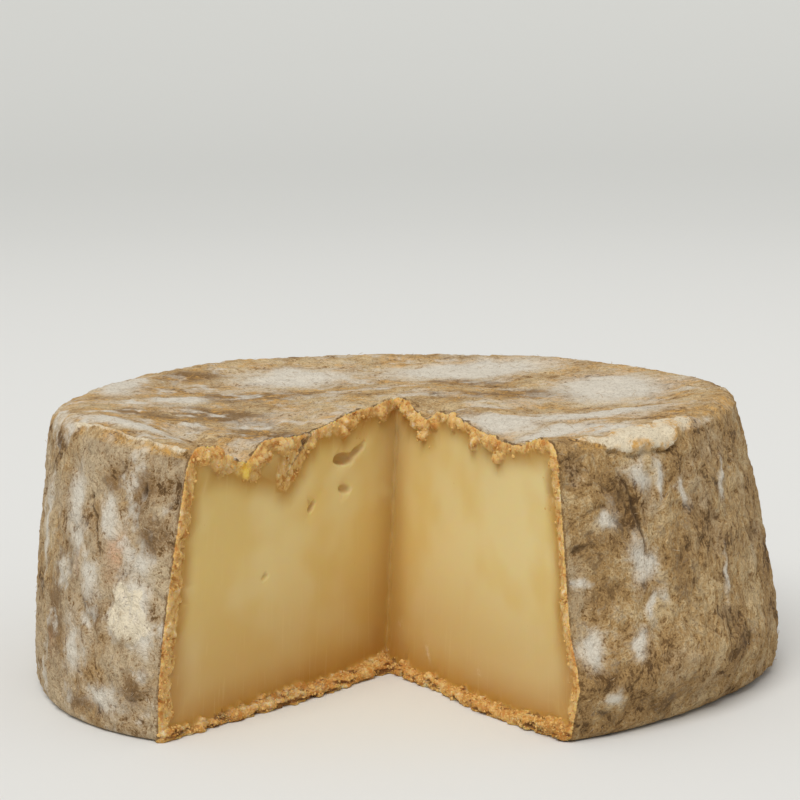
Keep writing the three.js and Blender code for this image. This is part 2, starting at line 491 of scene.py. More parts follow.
# %% [markdown]
# ## Random fields in numpy
# A sum of plane waves in random directions is a smooth random field with one size of bump. It is
# enough for placing and warping marks; the fine textures come later from Blender's own noise.

# %% Ripples
def ripples(points, size, seed, waves=20):
    """A smooth random field, mostly between -1 and 1, with bumps about size across."""
    random = np.random.default_rng(seed)
    directions = random.normal(size=(waves, 3))
    directions /= np.linalg.norm(directions, axis=1)[:, None]
    lengths = 2 * size * random.uniform(0.7, 1.5, waves)
    phases = random.uniform(0, 2 * np.pi, waves)
    total = np.zeros(len(points))
    for direction, length, phase in zip(directions, lengths, phases):
        total += np.sin(points @ direction * (2 * np.pi / length) + phase)
    return total * math.sqrt(1 / waves)


# %% [markdown]
# ## How thick the cut rind is
# On the cut faces the rind shows as a cream band. Under the sagging top it hangs down in lobes, and
# it is even down the sides and ragged at the foot. Each lobe is a place along the cut, how much
# thicker the rind is there, and how far the lobe takes to fade.

# %% Thickness of the cut rind
LEFT_LOBES = [(82, 1.9, 4), (65, 5.0, 4.2), (49.5, 3.2, 4.2), (26, 2.7, 5), (3, 0.8, 3)]
RIGHT_LOBES = [(6.5, 2.6, 3.6), (19, 2.1, 4.5), (46.5, 1.6, 3), (59, 2.6, 4.5), (84, 1.2, 3)]


def lobes(run, thin, rows):
    return thin + sum(more * np.exp(-(((run - place) / fade) ** 2)) for place, more, fade in rows)


def lip_of(left, run, depth, nearest):
    """Thickness of the cut rind minus the depth: positive in the rind, negative in the paste."""
    rim = np.hypot(*(nearest[:, :2] - AXIS).T)
    top = eased(nearest[:, 2], 62, 69) * eased(rim, 95, 89)
    foot = 1 - eased(nearest[:, 2], 0.6, 3.5)
    thick_top = np.where(left, lobes(run, 2.9, LEFT_LOBES), lobes(run, 2.1, RIGHT_LOBES))
    side_left = 4.5 - 1.2 * eased(nearest[:, 2], 50, 68)
    thick_side = np.where(left, side_left, 2.9)
    thick_foot = np.where(left, 1.9 + 0.7 * eased(run, 20, 0), 1.9 + 2.6 * eased(run, 66, 92))
    thickness = thick_side * (1 - top) + thick_top * top
    thickness = thickness * (1 - foot) + thick_foot * foot
    wobble = 0.13 * ripples(nearest, 2.6, 11) + 0.09 * ripples(nearest, 1.1, 12)
    return thickness * (1 + wobble) - depth, top, foot


# %% [markdown]
# ## Crumbs that belong to the rind
# A knife doesn't slice old rind cleanly: it breaks into crumbs that stay attached. Spheres of about a
# millimetre are scattered over the guide's cut rind, more and larger at the foot and under the top
# lobes, squashed and turned at random. Joined to the solid and remeshed with it, they fuse into one
# lumpy ledge with real overhangs. At the foot the crust wasn't cut at all but broke off in front of
# the knife, so a shelf of it sticks out, widest at the apex and gone at the corners.

# %% Guide and crumb fields
LEFT_SHELF = [(0, 4.3), (8, 5.0), (35, 5.2), (55, 3.8), (75, 1.6), (92, 0.5)]
RIGHT_SHELF = [(0, 4.3), (8, 3.2), (30, 2.6), (58, 3.8), (74, 2.6), (92, 0.3)]


def along(run, rows):
    places, values = zip(*rows)
    return np.interp(run, places, values)


GUIDE_VOXEL = 0.9 * MM
guide = remeshed(solid, "guide", GUIDE_VOXEL)
guide_points = read(guide.data, "co") / MM
guide_cut = measure(guide_points)
depth, nearest = under_skin(guide_points, guide_cut["inward"])
lip, top, foot = lip_of(guide_cut["left"], guide_cut["run"], depth, nearest)
on_cut = (guide_cut["inward"] < 0.45) & (depth > 0.25)
side = (1 - top) * (1 - foot)
shelf = np.where(guide_cut["left"], along(guide_cut["run"], LEFT_SHELF), along(guide_cut["run"], RIGHT_SHELF))
edge_kept = eased(depth, 0.7, 1.7) * (1 - foot) + foot
band = on_cut * eased(lip, -0.2, 0.7) * edge_kept
density = band * (0.22 * top + (0.5 + 0.9 * shelf) * foot + side * (0.05 + 0.05 * guide_cut["left"]))
size = 1.15 * top + 0.85 * foot + 0.55 * side
size *= np.where(guide_cut["left"], 1.0, 0.86)
store(guide.data, "density", density)
store(guide.data, "size", size)
store(guide.data, "hang", foot * shelf)
store(guide.data, "push", guide_cut["push"])
print("guide points", len(guide_points))

# %% Crumb tree
cheese = bpy.data.materials.new("cheese")
CRUMBS = {"Density": 1.0, "Least": 0.3, "Most": 1.9, "Roughness": 0.8, "Seed": 4}
crust, given = new_tree("crumbs_on_the_cut", CRUMBS)
scatter = crust.scatter(given, crust.stored("density"))
out = crust.chance(-0.05, 1.0, 21) * crust.stored("hang") + 0.1
push_out = crust.scaled(crust.stored("push", "FLOAT_VECTOR"), out * MM)
points = crust.move(scatter, push_out)
ball = crust.node("GeometryNodeMeshIcoSphere", None, {"Radius": 1.0, "Subdivisions": 2})
dent = (crust.noise(crust.node("GeometryNodeInputPosition"), 0.9, 2, 0.6) - 0.45) * given["Roughness"] * 2
ball = crust.move(ball, crust.scaled(crust.node("GeometryNodeInputNormal"), dent))
across = crust.chance((0.45, 0.45, 0.45), (1.35, 1.35, 1.35), 22)
grown = crust.scaled(across, crust.chance(0.0, 1.0, 23) * (given["Most"] - given["Least"]) + given["Least"])
grown = crust.scaled(grown, crust.stored("size") * MM)
turned = crust.chance((0.0, 0.0, 0.0), (6.3, 6.3, 6.3), 24)
inputs = {"Points": points, "Instance": ball, "Rotation": turned, "Scale": grown}
crumbs = crust.node("GeometryNodeInstanceOnPoints", None, inputs)
finish_tree(crust, crumbs, cheese)
attached = run_tree(guide, crust.tree, CRUMBS, "attached_crumbs")

together = bmesh.new()
together.from_mesh(solid.data)
together.from_mesh(attached.data)
joined = bpy.data.objects.new("joined", bpy.data.meshes.new("joined"))
together.to_mesh(joined.data)
together.free()
SKIN_VOXEL = 0.55 * MM
dense = remeshed(joined, "wheel_dense", SKIN_VOXEL)
print("crumb faces", len(attached.data.polygons), "dense points", len(dense.data.vertices))
for helper in (attached, joined, guide, solid):
    bpy.data.objects.remove(helper)

# %% [markdown]
# `section` joins the two distances into one field that runs straight through the cut's edge: positive
# on the cut, where it is the depth under the rind, and negative back along the rind. `crest` is how
# far a point stands out of the cut, and `lip` the thickness field again, now on the fine net.

# %% Places on the fine net
co = read(dense.data, "co") / MM
co[:, 2] = np.maximum(co[:, 2], 0.0)
dense.data.vertices.foreach_set("co", (co * MM).astype(np.float32).ravel())
normal = read(dense.data, "normal")
cut = measure(co)
depth, nearest = under_skin(co, cut["inward"])
lip, lip_top, lip_foot = lip_of(cut["left"], cut["run"], depth, nearest)
section = depth - np.maximum(cut["inward"], 0)
crest = np.where(section > 0, np.maximum(-cut["inward"], 0), 0)
hollow = eased(cut["inward"], 0.25, 1.4) * (section > 0.5)
bearing = np.degrees(np.arctan2(co[:, 0] - AXIS[0], -(co[:, 1] - AXIS[1])))
radius = np.hypot(co[:, 0] - AXIS[0], co[:, 1] - AXIS[1])
on_top = eased(normal[:, 2], 0.35, 0.75) * (co[:, 2] > 60) * (section < 0)
on_foot = 1 - eased(co[:, 2], 0.3, 1.6)
print("deepest point under the rind, mm:", round(depth.max(), 1))

# %% [markdown]
# ## Marks placed one by one
# A rind has a history: creases where it slumped, a flake that lifted, bloom where it touched its
# neighbour on the shelf. The marks that give this wheel its face are short lists of places. On the
# side a place is a bearing in degrees and a height; on the top it is x and y from the wheel's axis.
# Warping the coordinates first with ripples keeps every mark from looking drawn with a compass.

# %% Skin coordinates
ARC = math.radians(98)
warp = np.stack([ripples(co, 5, seed) for seed in (21, 22)], 1) * 1.3
warp += np.stack([ripples(co, 2, seed) for seed in (23, 24)], 1) * 0.55
side_place = np.stack([bearing * ARC, co[:, 2]], 1) + warp
top_place = co[:, :2] - AXIS + warp


def on_side(angle, height):
    return np.array([angle * ARC, height])


def blot(place, middle, width, height, tilt=0.0):
    """1 in the middle of an oval mark, fading to 0 past its rim."""
    turn = math.radians(tilt)
    offset = place - middle
    across = (offset[:, 0] * math.cos(turn) + offset[:, 1] * math.sin(turn)) / width
    up = (offset[:, 1] * math.cos(turn) - offset[:, 0] * math.sin(turn)) / height
    return np.exp(-(across**2 + up**2))


def stroke(place, points, width, taper=True):
    """1 along a line through the points, fading over width to each side and thinner at its ends."""
    best = np.zeros(len(place))
    total = len(points) - 1
    for i in range(total):
        start, run = points[i], points[i + 1] - points[i]
        t = np.clip(((place - start) @ run) / (run @ run), 0, 1)
        gap = np.linalg.norm(place - start - t[:, None] * run, axis=1)
        done = (i + t) / total
        swell = np.sin(np.pi * np.clip(done, 0.04, 0.96)) ** 0.5 if taper else 1.0
        best = np.maximum(best, np.exp(-((gap / (width * swell)) ** 2)) * swell)
    return best


# %% Blots of bloom and colour
sides = (1 - on_top) * (1 - on_foot) * (section < 0.6)
tops = on_top
masks = {name: np.zeros(len(co)) for name in ("bloom", "cream", "pink", "dark", "brown", "tan", "orange")}
relief = np.zeros(len(co))


def cover(mask, values):
    """The mask keeps the stronger of what it had and the new values."""
    masks[mask] = np.maximum(masks[mask], values)


def add_side_blots(mask, rows, strength=1.0):
    """Each row is a bearing and a height, a half-width and a half-height, and a tilt."""
    for angle, high, width, height, tilt in rows:
        added = sides * strength * blot(side_place, on_side(angle, high), width, height, tilt)
        cover(mask, added)


def add_top_blots(mask, rows, strength=1.0):
    """Each row is x and y from the axis, a half-width and a half-height, and a tilt."""
    for x, y, width, height, tilt in rows:
        added = tops * strength * blot(top_place, (x, y), width, height, tilt)
        cover(mask, added)


SIDE_BLOOM = [
    (-57.5, 56, 4.5, 8, -8), (-56, 46, 5, 6, 0), (-47, 54, 4, 6, 20), (-39.5, 43, 5, 4, 30),
    (-51, 38, 4.5, 3.5, 0), (-55, 19, 5.5, 7, 10), (-47, 8, 8, 3.5, 0), (-41, 33, 6, 7, 0),
    (-39, 26, 4, 6, 0), (-70, 44, 2.5, 12, 0), (38.5, 63, 4, 4, 30), (43, 60, 2.2, 5, 0),
    (38, 43, 4.8, 5.8, 0), (28, 23.5, 4.8, 4.4, 0), (40, 31, 1.7, 6, -32), (35.5, 23, 2.6, 4.5, -10),
    (31, 10.5, 2.4, 2.2, 0), (57, 34, 1.5, 6, -4), (60, 58, 1.4, 6, 0), (48, 57, 1.8, 4, 0),
    (27.5, 39, 2.6, 1.6, 0), (31.5, 54, 3.2, 2.2, -30),
]
add_side_blots("bloom", SIDE_BLOOM)
PINK = [
    (-45.5, 45, 3.4, 5, 0), (-55, 42, 1.8, 3, 0), (-63, 19, 2.5, 4, 0),
]
add_side_blots("pink", PINK)
SIDE_DARK = [
    (-50.5, 30, 2, 6, 32), (-40, 57, 3, 6, 10), (-37.5, 50, 3, 5, 0), (-35.8, 30, 1.2, 3, 0),
    (-39.5, 13, 5, 3, 0), (-45, 15, 4, 2.5, 0), (-36.5, 64, 1.6, 2.2, 0), (28, 46, 6, 3, -20),
    (26, 36, 3, 2.5, 0), (33.5, 52, 3.5, 6, 25), (31.5, 36, 5, 3, 0), (28, 17, 6, 3, 0),
    (40, 6, 12, 3.5, 0), (30, 4, 6, 3, 0),
]
add_side_blots("dark", SIDE_DARK, 0.6)
LEFT_BROWN = [
    (-41, 58, 4, 8, 0), (-38, 49, 3.5, 6, 0), (-49.5, 30, 2.2, 8, 32), (-62, 28, 7, 14, 0),
    (-41, 13, 6, 4, 0), (-52, 6, 9, 3, 0), (-47, 62, 6, 3, 0),
]
RIGHT_BROWN = [
    (28, 46, 7, 5, -15), (30, 35, 6, 4, 0), (33, 54, 4, 8, 25), (29, 17, 8, 4, 0), (42, 7, 16, 4, 0),
    (58, 17, 5, 8, 0), (46, 40, 6, 9, 0),
]
add_side_blots("brown", LEFT_BROWN, 0.8)
add_side_blots("brown", RIGHT_BROWN, 0.45)
TAN = [
    (-68, 30, 11, 26, 0), (52, 26, 14, 14, 0), (62, 50, 12, 22, 0),
]
add_side_blots("tan", TAN, 0.8)
TOP_BLOOM = [
    (-68, -45, 19, 4.6, -40), (-50, -58, 13, 4.8, -25), (-36, -78, 5, 4, 0), (-78, 30, 6, 16, 0),
    (-60, 5, 8, 7, 30), (46, -30, 24, 9, 8), (26, -38, 10, 12, 20), (50, -58, 9, 8, 40),
    (38, -52, 12, 6, 30), (58, 18, 16, 22, 0), (13, -16, 3, 2.4, 0), (20, 60, 26, 14, 10),
    (-30, 50, 18, 12, 30),
]
add_top_blots("bloom", TOP_BLOOM, 1.3)
# Brown patches on the top; those on the left half are partly a painted shadow cast by the cut-off wedge,
# which isn't built.
TOP_BROWN_AND_SHADOW = [
    (-46, -17, 15, 9, -30), (-32, -43, 8, 13, 30), (-70, -20, 8, 5, 20), (-62, -26, 10, 4, -20),
    (-60, 48, 8, 5, 40), (-40, 12, 16, 9, 0), (30, 10, 14, 7, 20), (18, 38, 10, 6, 0),
]
add_top_blots("brown", TOP_BROWN_AND_SHADOW, 1.3)
TOP_TAN = [
    (-62, -28, 14, 5, -30), (-14, -14, 14, 8, 30), (30, -8, 24, 6, -15), (78, -28, 10, 12, 0),
    (70, 50, 18, 14, -45), (-80, -10, 8, 16, 0), (0, 84, 40, 8, 0),
]
add_top_blots("tan", TOP_TAN, 0.9)
ORANGE = [
    (-90, -17, 2, 3, 0), (-86, 1, 2, 3.5, 0), (-74, -30, 4, 2, 0), (-88, -8, 2, 2, 0),
    (-70, -58, 7, 1.8, -48), (-56, -74, 6, 1.8, -36), (50, -57, 12, 1.6, 28), (68, -42, 8, 1.8, 30),
    (84, -24, 3, 6, 0), (-26, -56, 5, 4, 30), (-18, -22, 6, 3, 30),
]
add_top_blots("orange", ORANGE)

# %% [markdown]
# Two flakes of rind have lifted: a thin cream one low on the left, and a strip on the rim on the
# right that has peeled up along its lower edge. Their outlines are closed loops of a few places, and
# the distance to the loop gives both the mask and the raised edge.

# %% Flakes
def inside(place, loop):
    """Distance to a closed loop of points, positive inside."""
    gap = np.full(len(place), 1e9)
    winding = np.zeros(len(place), bool)
    for start, end in zip(loop, np.roll(loop, -1, axis=0)):
        run = end - start
        t = np.clip(((place - start) @ run) / (run @ run), 0, 1)
        gap = np.minimum(gap, np.linalg.norm(place - start - t[:, None] * run, axis=1))
        crosses = (start[1] > place[:, 1]) != (end[1] > place[:, 1])
        reach = start[0] + run[0] * (place[:, 1] - start[1]) / (run[1] if run[1] else 1e-9)
        winding ^= crosses & (place[:, 0] < reach)
    return np.where(winding, gap, -gap)


FLAKE = [
    (-45, 37.5), (-42, 37), (-39.5, 34.5), (-37.5, 31), (-36.8, 28), (-38, 25),
    (-40.5, 22.5), (-43, 24), (-45.5, 25.5), (-46.5, 30),
]
flake_edge = inside(side_place + 0.5 * warp, np.array([on_side(*p) for p in FLAKE]))
flake_mask = eased(flake_edge, -1.2, 1.4) * sides
PEEL = [
    (28, 74.8), (34, 76.5), (44, 77.5), (55, 77.5), (55, 74), (50, 72.5), (47.5, 69.8), (43, 68.2),
    (39, 68.6), (34, 71.4), (30, 73),
]
# The rim is unrolled: going inwards over the top counts as going up, so one outline spans both.
rim_drop = 0.55 * np.clip(92 - radius, 0, 30)
rim_place = np.stack([bearing * ARC, co[:, 2] + rim_drop], 1) + 0.6 * warp
at_rim = (co[:, 2] > 60) * (np.abs(bearing - 42) < 22) * (section < 0.3)
peel_edge = np.where(at_rim > 0, inside(rim_place, np.array([on_side(*p) for p in PEEL])), -9.0)
peel_mask = eased(peel_edge, -0.3, 0.4)
low_edge = eased(rim_place[:, 1], 73.5, 70)
masks["cream"] = np.maximum(flake_mask * 0.58, 0.80 * peel_mask)
peel_rim = np.exp(-(((peel_edge - 0.7) / 1.0) ** 2)) * eased(ripples(co, 3, 41), -0.4, 0.5)
peel_rim = np.maximum(peel_rim, 0.8 * peel_mask * eased(ripples(co, 4, 42), 0.2, 0.8))
cover("orange", 1.2 * peel_rim)
relief += 0.4 * flake_mask + (0.25 + 0.75 * low_edge) * peel_mask
relief -= 0.6 * low_edge * np.exp(-(((peel_edge + 0.9) / 0.6) ** 2))

# %% [markdown]
# Creases are strokes that push the surface in, with painted shade darkening them; the front of the left
# rim has the opposite, a thin fold of rind that stands up as a crisp cream line.

# %% Creases and the fold on the rim
SIDE_CREASES = [
    ([(-53.5, 60), (-52.5, 56.5), (-50.5, 50), (-49.5, 46), (-49, 41)], 0.55, 1.1),
    ([(-40.2, 63.5), (-41, 58)], 0.7, 1.0),
    ([(-50, 71), (-50.5, 68), (-51.5, 64)], 0.5, 0.4),
    ([(-75.5, 66), (-75, 60)], 0.6, 0.9),
    ([(-66.5, 65), (-66.8, 58)], 0.6, 0.9),
    ([(-45, 11.5), (-41, 9.5), (-38, 11)], 0.5, 0.5),
    ([(34.5, 66), (35.5, 62), (37, 56), (38.2, 51), (39.2, 46), (39.8, 40)], 0.6, 0.9),
    # A wide, shallow stroke beside the crease above: mostly painted shade of the fold, barely pushed in.
    ([(33.6, 63), (35, 57), (36.6, 51)], 1.9, 0.4),
    ([(28, 69), (30.5, 62), (34, 57)], 0.6, 0.35),
    ([(26.5, 54), (30, 57), (33.5, 55)], 0.8, 0.5),
    ([(25.5, 46), (27.5, 47.5), (30, 46)], 0.8, 0.8),
    ([(56, 26), (56.5, 18)], 0.5, 0.8),
    ([(61, 22), (62.5, 14)], 0.5, 0.8),
    ([(66, 21), (65, 16)], 0.6, 0.8),
    ([(41, 66), (40, 58), (41, 52)], 0.5, 0.25),
    ([(110, 66), (107, 50), (111, 36)], 0.6, 0.8),
    ([(165, 60), (161, 48), (163, 38)], 0.6, 0.7),
    ([(-120, 66), (-123, 50), (-121, 38)], 0.6, 0.8),
]
TOP_CREASES = [
    ([(-60, -32), (-48, -36), (-36, -40), (-24, -44)], 1.2, 0.9),
    ([(-56, -48), (-40, -46), (-32, -52)], 1.0, 0.7),
    ([(66, -5), (69, 2)], 0.8, 1.4),
    ([(60, 8), (63, 5)], 0.7, 1.0),
    ([(16, -24), (34, -26), (56, -24)], 1.1, 0.7),
    ([(30, 60), (50, 40), (62, 22)], 1.0, 0.7),
    ([(-60, 30), (-40, 44), (-20, 46)], 0.9, 0.7),
    ([(28, -34), (40, -40), (52, -42)], 0.9, 0.5),
]
calm_place = side_place - 0.6 * warp
# Painted shade: each crease is darkened through the dark mask as well as pushed in.
for line, width, deep in SIDE_CREASES:
    crease = sides * stroke(calm_place, np.array([on_side(*p) for p in line]), width)
    relief -= deep * crease
    cover("dark", min(1.0, 1.1 * deep + 0.15) * crease)
for line, width, deep in TOP_CREASES:
    crease = tops * stroke(top_place, np.array(line, float), width)
    relief -= deep * crease
    cover("dark", 0.55 * crease)

RIM_FOLD = [(-82, -42), (-74, -52), (-66, -63), (-58, -72), (-51, -77)]
fold_place = co[:, :2] - AXIS + 0.3 * warp
at_fold = (co[:, 2] > 62) * (section < 0.3)
fold = stroke(fold_place, np.array(RIM_FOLD, float), 0.55, taper=False) * at_fold
behind_fold = stroke(fold_place, np.array(RIM_FOLD, float), 3.5, taper=False) * at_fold
relief += 0.9 * fold - 0.3 * behind_fold
cover("cream", 0.9 * fold)
cover("orange", 0.8 * fold * (fold < 0.6))

# %% [markdown]
# The knife left marks on the cut too. On a cut face a place is how far out from the apex it is and its
# height. The right face has pale smears low down, the shelf on the left carries a grey flake of the
# bottom rind, and one lobe under the top has ripened to bright yellow.

# %% Marks on the cut
cut_place = np.stack([cut["run"], co[:, 2]], 1) + 0.25 * warp
left_cut = cut["left"] * (section > -0.3)
right_cut = ~cut["left"] * (section > -0.3)
SMEARS = [[(21, 11), (24.5, 5.5)], [(5.5, 14), (8.5, 12)], [(48, 9), (50, 7.5)]]
cut_relief = np.zeros(len(co))
for line in SMEARS:
    smear = right_cut * stroke(cut_place, np.array(line, float), 0.8)
    cover("cream", 0.7 * smear)
    cut_relief += 0.12 * smear
flake_run = eased(cut["run"], 30, 38) * eased(cut["run"], 84, 76)
grey_flake = left_cut * flake_run * eased(crest, 0.6, 1.6) * eased(co[:, 2], 1.4, 2.4)
cover("tan", grey_flake)
ripe = left_cut * blot(cut_place, (70.5, 63.5), 2.4, 2.6)
cover("orange", ripe)

# %% Store the fields
by_the_cut = eased(-section, 0.1, 1.4)
frayed = np.exp(-((np.maximum(-section, 0) / 2.2) ** 2)) * (section <= 0) * lip_top
fields = {
    "section": section,
    "lip": lip,
    "crest": crest,
    "hollow": hollow,
    "run": cut["run"],
    "push": cut["push"],
    "lip_foot": lip_foot,
    "marks": relief * by_the_cut + 0.45 * frayed * ripples(co, 1.7, 31) + cut_relief,
    "topside": on_top,
    **masks,
}
for name, values in fields.items():
    store(dense.data, name, np.asarray(values, float))
print("stored", sorted(fields))

# %% [markdown]
# ## Relief in Geometry Nodes
# The texture of the skin is a rule applied at every point, which is what Geometry Nodes are for. The
# tree reads the stored fields and adds noise of four sizes along the normal: slow swells, ridged
# folds, bumps and grain. The cut rind gets a rougher grain and the paste only slow waves. What was
# added is stored as `relief`, so the material can paint shade into hollows and light onto ridges.

# %% Relief tree
SKIN = {"Swell": 1.6, "Folds": 0.45, "Bumps": 1.15, "Grain": 0.7, "Crumb grain": 2.0}
carve, given = new_tree("rind_relief", SKIN)
place = carve.scaled(carve.node("GeometryNodeInputPosition"), 1 / MM)
section_here = carve.stored("section")
is_rind = carve.step(section_here, -0.1, -1.3)
is_top = carve.stored("topside")
bloom = carve.stored("bloom")
flow = carve.swirl(place, 14, 4)

swell = carve.noise(place, 17, 3, 0.5) - 0.5
ridge = 1 - abs(carve.noise(carve.shift(flow, (40, 7, 3)), 9, 2, 0.45) * 2 - 1)
ridge = carve.step(ridge, 0.80, 1.0)
bump = carve.noise(carve.shift(flow, (9, 50, 3)), 3.6, 3, 0.55) - 0.5
grain = carve.noise(flow, 1.4, 2, 0.6) - 0.5
fibre = carve.noise(carve.stretch(flow, 1, 1, 4), 1.5, 2, 0.5) - 0.5
fluff = carve.noise(carve.shift(place, (3, 3, 70)), 2.2, 2, 0.5)

height = swell * given["Swell"] - ridge * given["Folds"] + bump * given["Bumps"] * (1 - bloom * 0.4)
height = height + (grain + fibre * (1 - is_top)) * given["Grain"]
height = height * (1 - is_top * 0.35) + bloom * fluff * 0.4
height = height * is_rind + carve.stored("marks")
height = height * carve.step(carve.part(place, 2), 0.1, 2.2)
moved = carve.move(given["Geometry"], carve.scaled(carve.node("GeometryNodeInputNormal"), height * MM))

in_lip = carve.step(carve.stored("lip") + (carve.noise(place, 1.3, 2, 0.5) - 0.5) * 1.6, -0.15, 0.35)
in_lip = in_lip.most(carve.step(carve.stored("crest"), 0.3, 0.6))
rough_cut = (carve.noise(place, 1.5, 3, 0.65) - 0.5) * given["Crumb grain"]
pits = carve.step(carve.noise(carve.shift(place, (5, 5, 5)), 2.2, 2, 0.5), 0.60, 0.68) * 0.8
layers = carve.noise(carve.stretch(place, 5, 5, 1), 1.1, 2, 0.5)
splits = carve.step(layers, 0.47, 0.40) * carve.stored("lip_foot") * 0.9
lump = (rough_cut - pits - splits + 0.25) * in_lip * carve.step(section_here, -1.2, 0.4)
waves = (carve.noise(place, 14, 1, 0.4) - 0.5) * 0.35 * carve.step(section_here, 0.0, 2.0)
lift = (lump + waves) * carve.step(carve.part(place, 2), 0.0, 0.8)
moved = carve.move(moved, carve.scaled(carve.node("GeometryNodeInputNormal"), lift * MM))
moved = carve.keep(moved, "relief", height + lump)
moved = carve.keep(moved, "in_lip", in_lip)
finish_tree(carve, moved, cheese)

# %% [markdown]
# The tree's result is made a plain mesh and thinned: Decimate keeps small triangles where there are
# crumbs and wrinkles and merges them on the smooth paste and the flat foot.

# %% Apply the relief and thin the mesh
MOST_TRIANGLES = 198_000
raised = run_tree(dense, carve.tree, SKIN, "wheel_raised")
raised.data.calc_loop_triangles()
before = len(raised.data.loop_triangles)
thin = raised.modifiers.new("thin", "DECIMATE")
thin.ratio = MOST_TRIANGLES / before
wheel = evaluated_copy(raised, "cheese_wheel_skin")
wheel.data.shade_smooth()
wheel.data.calc_loop_triangles()
for helper in (dense, raised):
    bpy.data.objects.remove(helper)
print("triangles", before, "->", len(wheel.data.loop_triangles))

# %% [markdown]
# ## The cheese's material
# One material covers the wheel, because its rind passes into its paste without a joint. `section`
# says which side of the cut's edge a point is on, and a Mix Shader joins a rough, felted rind to a
# waxy paste that lets a little light in. Felt is noise at several sizes added up and read through a
# scale of browns; the coordinates are swirled first, so its fibres flow.

# %% Fields the material reads
cheese.use_nodes = True
cheese.node_tree.nodes.clear()
paint = Graph(cheese.node_tree)
step = paint.step
blend = paint.blend
noise = paint.noise
spot = paint.scaled(paint.node("ShaderNodeTexCoord", None, (), 3), 1 / MM)


def mark(name):
    return paint.node("ShaderNodeAttribute", {"attribute_name": name}, (), 2)


section_f = mark("section")
top_f = mark("topside")
height_f = mark("relief")
flow = paint.swirl(spot, 12, 5)


def still(offset, size, detail=3, rough=0.6):
    """Noise on the coordinates as they are, moved so that no two patterns agree."""
    return noise(paint.shift(spot, offset), size, detail, rough)


def flowing(offset, size, detail, rough):
    """The same on the swirled coordinates."""
    return noise(paint.shift(flow, offset), size, detail, rough)


wide = noise(spot, 24, 2, 0.5)
tone = noise(flow, 9, 3, 0.6)
patch = flowing((13, 5, 8), 3.6, 4, 0.65)
speck = flowing((3, 15, 8), 1.4, 4, 0.7)
fine = noise(spot, 0.6, 3, 0.65)
streak = noise(paint.stretch(flow, 1, 1, 5), 1.3, 4, 0.65)
strand = 1 - abs(flowing((31, 2, 8), 2.6, 4, 0.6) * 2 - 1)
leftness = step(paint.part(spot, 0), 55, -55)

# %% Rind colour
DEEP = (0.075, 0.040, 0.016)
BROWN = (0.198, 0.108, 0.038)
TANNED = (0.430, 0.266, 0.108)
LIGHT = (0.650, 0.485, 0.265)
GREY = (0.520, 0.425, 0.300)
WHITE = (0.720, 0.665, 0.565)
CREAM = (0.820, 0.715, 0.530)
ROSE = (0.600, 0.340, 0.200)
OCHRE = (0.660, 0.360, 0.090)

smoke = flowing((90, 5, 8), 15, 3, 0.6)
# Painted light and shade: the felt tone rises a little with the relief, so ridges are lighter and hollows
# darker.
felt = (speck - 0.5) * 1.4 + (patch - 0.5) * 1.2 + (tone - 0.5) * 1.3 + (fine - 0.5) * 1.0
felt = felt + (streak - 0.5) * (1 - top_f) * 0.8 + (strand - 0.86) * 0.6 + height_f * 0.12
felt = felt + (smoke - 0.5) * 1.6 + leftness * 0.06 + top_f * 0.10 + 0.03
rind = blend(BROWN, TANNED, step(felt, -0.40, -0.02))
rind = blend(rind, LIGHT, step(felt, -0.02, 0.42))
rind = blend(rind, DEEP, step(felt, -0.26, -0.52) * 0.8)
grey = step(wide + leftness * 0.26 - 0.12 + (tone - 0.5) * 0.6, 0.42, 0.68) * (1 - top_f * 0.8)
rind = blend(rind, GREY, grey * step(felt, -0.40, 0.05) * 0.6)
rind = blend(rind, LIGHT, mark("tan") * step(streak + (speck - 0.5) * 0.8, 0.40, 0.60) * 0.55)
rind = blend(rind, ROSE, mark("pink") * step(speck, 0.30, 0.56) * 0.85)
fibrous = mark("brown") + (patch - 0.5) * 2.0 + (speck - 0.5) * 2.2 + (smoke - 0.5) * 0.8
rind = blend(rind, BROWN, step(fibrous, 0.08, 0.80) * 0.85)
warm = step(still((6, 70, 8), 7), 0.45, 0.60) * top_f
rind = blend(rind, OCHRE, warm * step(speck, 0.42, 0.58) * 0.8)

drift = step(still((60, 5, 8), 11), 0.50, 0.72) * (leftness * 0.6 + 0.15)
drift = drift + step(still((6, 50, 8), 16), 0.46, 0.60) * top_f * 0.42
powder = mark("bloom").most(drift) + (patch - 0.5) * 0.7 + (speck - 0.5) * 0.6 + (fine - 0.5) * 0.3
white = step(powder, 0.02, 0.98) * 0.95
rind = blend(rind, WHITE, white)
shed = mark("cream") + (speck - 0.5) * 1.1 + (patch - 0.5) * 0.9 + (fine - 0.5) * 0.4
shed = step(shed, 0.28, 0.66) * 0.9
rind = blend(rind, CREAM, shed)
rind = blend(rind, OCHRE, mark("orange") * step(speck, 0.38, 0.58) * 0.8)
clean = 1 - white.most(shed) * 0.55

# The dark mask holds dark rind patches and, from the creases, painted shade.
dark = step(mark("dark") + (speck - 0.5) * 1.2 + (patch - 0.5) * 0.8, 0.34, 0.95)
rind = blend(rind, DEEP, dark * 0.75)
pepper = step(speck + (fine - 0.5) * 0.9 + (patch - 0.5) * 0.4, 0.38, 0.28)
rind = blend(rind, BROWN, pepper * clean * 0.75)
hair = step(strand + (speck - 0.5) * 0.3, 0.95, 0.985)
rind = blend(rind, BROWN, hair * clean * 0.5)
# Painted shade: the deepest hollows of the relief are darkened.
rind = blend(rind, DEEP, step(height_f, -0.25, -1.3) * 0.6)
